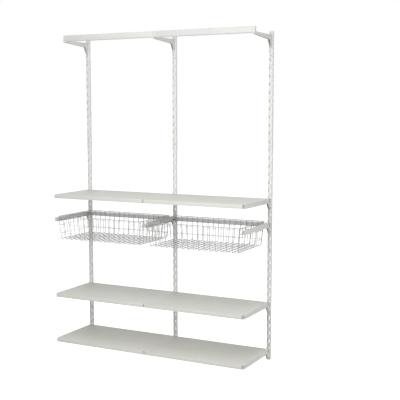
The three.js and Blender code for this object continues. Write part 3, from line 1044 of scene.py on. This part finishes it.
def bend_ring(name, centre, half_x, half_y, radius, diameter, resolution=2):
    """A closed ring of wire, level, with four bends."""
    ring = start(name, "plane", size=2, location=centre, scale=(half_x, half_y, 1))
    with editing(ring):
        bpy.ops.mesh.bevel(offset=radius, segments=6, affect="VERTICES")
        bpy.ops.mesh.delete(type="ONLY_FACE")
    return draw_wire(ring, diameter, resolution)


def bend_hoop(name, along, centre, top_half, floor_half, low, high, radius, diameter):
    """An open hoop of wire that stands along x or y: down one wall, over the floor and up."""
    turn = 0 if along == 0 else math.pi / 2
    hoop = start(
        name,
        "plane",
        size=2,
        location=(centre[0], centre[1], (low + high) / 2),
        rotation=(math.pi / 2, 0, turn),
        scale=(top_half, (high - low) / 2, 1),
    )
    with editing(hoop):
        pick(hoop, "VERT", lambda corner: corner.co.z < low + radius)
        ratio = [1, 1, 1]
        ratio[along] = floor_half / top_half
        bpy.ops.transform.resize(value=ratio)
        bpy.ops.mesh.bevel(offset=radius, segments=4, affect="VERTICES")
        bpy.ops.mesh.delete(type="ONLY_FACE")
        pick(hoop, "EDGE", lambda edge: min(v.co.z for v in edge.verts) > high - radius)
        bpy.ops.mesh.delete(type="EDGE")
    return draw_wire(hoop, diameter, 1)


# How deep the wires of a basket's floor are pressed into each other where they are welded
WELD_SHARE = 1 / 8
# Where the stays of a skid stand, as shares of half its length, from its middle
STAY_SHARES = (-0.5, 0, 0.5)


class CLOSET_OT_baskets(Operator):
    """Bend and weld one wire basket, and copy it to the other bay"""

    bl_idname = "closet.baskets"
    bl_label = "Baskets"

    def execute(self, context):
        sizes = context.scene.closet_sizes
        finishes = context.scene.closet_finishes
        coat = coated_steel("Epoxy coated wire", finishes.wire, peel=4, rough=0.35)
        low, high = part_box("basket_left")
        middle_y = (low.y + high.y) / 2
        centre = Vector(((low.x + high.x) / 2, middle_y, high.z - sizes.rim_wire / 2))
        half = (
            sizes.rim_half - sizes.rim_wire / 2,
            (high.y - low.y - sizes.rim_wire) / 2,
        )
        floor_z = low.z + sizes.side_wire / 2
        step = (sizes.side_wire + sizes.wire) / 2 - sizes.side_wire * WELD_SHARE
        self.slope = sizes.wall_lean / (centre.z - floor_z)
        pieces = [bend_ring("rim", centre, *half, sizes.rim_bend, sizes.rim_wire, 3)]
        for drop in (sizes.under_rim, sizes.level_pitch, 2 * sizes.level_pitch):
            inset = drop * self.slope + (sizes.side_wire + sizes.level_wire) / 2
            level = centre - Vector((0, 0, drop))
            pieces.append(
                bend_ring(
                    "level_wire",
                    level,
                    half[0] - inset,
                    half[1] - inset,
                    sizes.corner_bend,
                    sizes.level_wire,
                )
            )
        pieces.append(self.hoops(sizes, centre, half, 0, floor_z, sizes.side_wire))
        pieces.append(self.hoops(sizes, centre, half, 1, floor_z + step, sizes.wire))
        for side in (-1, 1):
            pieces.extend(self.skid(sizes, centre, half, side))
        basket = join("basket_left_wire", pieces)
        twin = copy_to(basket, "basket_right_wire", place("basket_right") - place("basket_left"))
        hand_in(basket, "left_basket", "basket_wire", ["basket_left"], coat)
        hand_in(twin, "right_basket", "basket_wire", ["basket_right"], coat)
        return {"FINISHED"}

    def hoops(self, sizes, centre, half, along, low, diameter):
        """The wires that stand along x or y, from wall to wall, fanned out towards the rim."""
        across = 1 - along
        gaps = round(2 * half[across] / sizes.wire_pitch)
        top_span = 2 * (half[across] - sizes.corner_gap)
        floor_span = top_span - 2 * sizes.wall_lean
        spot = centre.copy()
        spot[across] -= floor_span / 2
        lean = (centre.z - low) * self.slope
        hoop = bend_hoop(
            "hoops",
            along,
            spot,
            half[along],
            half[along] - lean,
            low,
            centre.z,
            sizes.wire_bend,
            diameter,
        )
        step = [0, 0, 0]
        step[across] = floor_span / gaps
        repeat(hoop, gaps + 1, step)
        with editing(hoop):
            pick(hoop, "VERT", lambda corner: corner.co.z > centre.z - NEAR)
            ratio = [1, 1, 1]
            ratio[across] = top_span / floor_span
            bpy.ops.transform.resize(value=ratio, center_override=centre)
        return hoop

    def skid(self, sizes, centre, half, side):
        """A heavier wire beside a side wall, bent in at both ends and held by three short wires."""
        height = centre.z - sizes.skid_drop
        wall = half[0] - sizes.skid_drop * self.slope
        reach = half[1] + sizes.rim_wire / 2 - sizes.skid_inset
        bow = start(
            "skid",
            "plane",
            size=2,
            location=(centre.x + side * (wall + sizes.skid_reach) / 2, centre.y, height),
            scale=((sizes.skid_reach - wall) / 2, reach, 1),
        )
        with editing(bow):
            pick(bow, "VERT", lambda corner: (corner.co.x - centre.x) * side > wall + NEAR)
            bpy.ops.mesh.bevel(offset=sizes.rim_wire, segments=4, affect="VERTICES")
            bpy.ops.mesh.delete(type="ONLY_FACE")
            pick(
                bow,
                "EDGE",
                lambda edge: runs_along(edge, 1) and abs(middle(edge).x - centre.x) < wall + NEAR,
            )
            bpy.ops.mesh.delete(type="EDGE")
        pieces = [draw_wire(bow, sizes.rim_wire, 2)]
        for share in STAY_SHARES:
            stay = start(
                "skid_stay",
                "cylinder",
                vertices=8,
                radius=sizes.wire / 2,
                depth=sizes.skid_reach - wall,
                location=(
                    centre.x + side * (wall + sizes.skid_reach) / 2,
                    centre.y + share * reach,
                    height,
                ),
                rotation=(0, math.pi / 2, 0),
            )
            pieces.append(stay)
        return pieces


class CLOSET_OT_stage(Operator):
    """Set up the pale floor, the soft light and the camera"""

    bl_idname = "closet.stage"
    bl_label = "Stage"

    def execute(self, context):
        studio = context.scene.closet_studio
        context.scene.view_settings.view_transform = "Standard"
        floor = start("floor", "plane", size=FLOOR_SIZE, location=(0, 0, -studio.floor_drop))
        floor.data.materials.append(self.floor_finish(studio.floor_glow))
        self.room_light(context.scene, studio.ambient)
        for name in LAMP_PLACES:
            self.soft_lamp(studio, name)
        bpy.ops.object.camera_add(location=CAMERA_PLACE, rotation=CAMERA_TURN)
        context.scene.camera = context.active_object
        context.scene.camera.data.lens = studio.lens
        return {"FINISHED"}

    def soft_lamp(self, studio, name):
        """A large square lamp that looks at the middle of the object."""
        azimuth, elevation, distance = LAMP_PLACES[name]
        turn = Euler((math.radians(90 - elevation), 0, math.radians(azimuth)))
        away = turn.to_matrix() @ Vector((0, 0, distance))
        bpy.ops.object.light_add(type="AREA", location=OBJECT_MIDDLE + away, rotation=turn)
        lamp = bpy.context.active_object
        lamp.name = name
        lamp.data.size = studio.lamp_size * distance
        lamp.data.energy = getattr(studio, name)

    def seen_directly(self, tree):
        """1 for rays that come from the camera, a reflection or glass, else 0."""
        path = add_node(tree, "ShaderNodeLightPath")
        pair = add_node(
            tree,
            "ShaderNodeMath",
            (),
            {0: path.outputs["Is Camera Ray"], 1: path.outputs["Is Glossy Ray"]},
            operation="MAXIMUM",
        )
        return add_node(
            tree,
            "ShaderNodeMath",
            (),
            {0: pair.outputs[0], 1: path.outputs["Is Transmission Ray"]},
            operation="MAXIMUM",
        ).outputs[0]

    def floor_finish(self, brightness):
        """Pale painted concrete. It looks white to the camera and keeps the object's shadow."""
        material, tree = new_material("Painted floor, pale")
        paint = add_node(
            tree, "ShaderNodeBsdfDiffuse", {"Color": shaded(WHITE, FLOOR_GREY), "Roughness": 1}
        )
        strength = add_node(
            tree,
            "ShaderNodeMath",
            {1: brightness},
            {0: self.seen_directly(tree)},
            operation="MULTIPLY",
        )
        glow = add_node(tree, "ShaderNodeEmission", (), {"Strength": strength.outputs[0]})
        both = add_node(
            tree, "ShaderNodeAddShader", (), {0: paint.outputs[0], 1: glow.outputs[0]}
        )
        add_node(tree, "ShaderNodeOutputMaterial", (), {"Surface": both.outputs[0]})
        return material

    def room_light(self, scene, ambient):
        """An even room: white where it is looked at, and softer where it lights the object."""
        scene.world = scene.world or bpy.data.worlds.new("Room")
        scene.world.use_nodes = True
        tree = scene.world.node_tree
        tree.nodes.clear()
        light = add_node(
            tree, "ShaderNodeBackground", {"Color": shaded(WHITE), "Strength": ambient}
        )
        view = add_node(tree, "ShaderNodeBackground", {"Color": shaded(WHITE), "Strength": 1})
        either = add_node(
            tree,
            "ShaderNodeMixShader",
            (),
            {0: self.seen_directly(tree), 1: light.outputs[0], 2: view.outputs[0]},
        )
        add_node(tree, "ShaderNodeOutputWorld", (), {"Surface": either.outputs[0]})


OPERATORS = (
    CLOSET_OT_stage,
    CLOSET_OT_uprights,
    CLOSET_OT_wall_screws,
    CLOSET_OT_brackets,
    CLOSET_OT_shelves,
    CLOSET_OT_clothes_rail,
    CLOSET_OT_basket_frames,
    CLOSET_OT_baskets,
)


class CLOSET_PT_pieces(Panel):
    """Lists the operators and their settings"""

    bl_idname = "CLOSET_PT_pieces"
    bl_label = "Closet system"
    bl_space_type = "VIEW_3D"
    bl_region_type = "UI"
    bl_category = "Closet"

    def draw(self, context):
        for operator in OPERATORS:
            self.layout.operator(operator.bl_idname)
        for group in ("closet_sizes", "closet_finishes", "closet_studio"):
            settings = getattr(context.scene, group)
            box = self.layout.box()
            for name in settings.bl_rna.properties.keys():
                if name not in ("rna_type", "name"):
                    box.prop(settings, name)


GROUPS = (
    ("closet_sizes", ClosetSizes),
    ("closet_finishes", ClosetFinishes),
    ("closet_studio", ClosetStudio),
)


def register():
    """Registers the settings, the operators and the panel."""
    for name, group in GROUPS:
        bpy.utils.register_class(group)
        setattr(bpy.types.Scene, name, PointerProperty(type=group))
    for kind in (*OPERATORS, CLOSET_PT_pieces):
        bpy.utils.register_class(kind)


def unregister():
    """Takes the panel, the operators and the settings away again."""
    for kind in reversed((*OPERATORS, CLOSET_PT_pieces)):
        bpy.utils.unregister_class(kind)
    for name, group in reversed(GROUPS):
        delattr(bpy.types.Scene, name)
        bpy.utils.unregister_class(group)


def main():
    register()
    for operator in OPERATORS:
        category, name = operator.bl_idname.split(".")
        getattr(getattr(bpy.ops, category), name)()


if __name__ == "__main__":
    main()
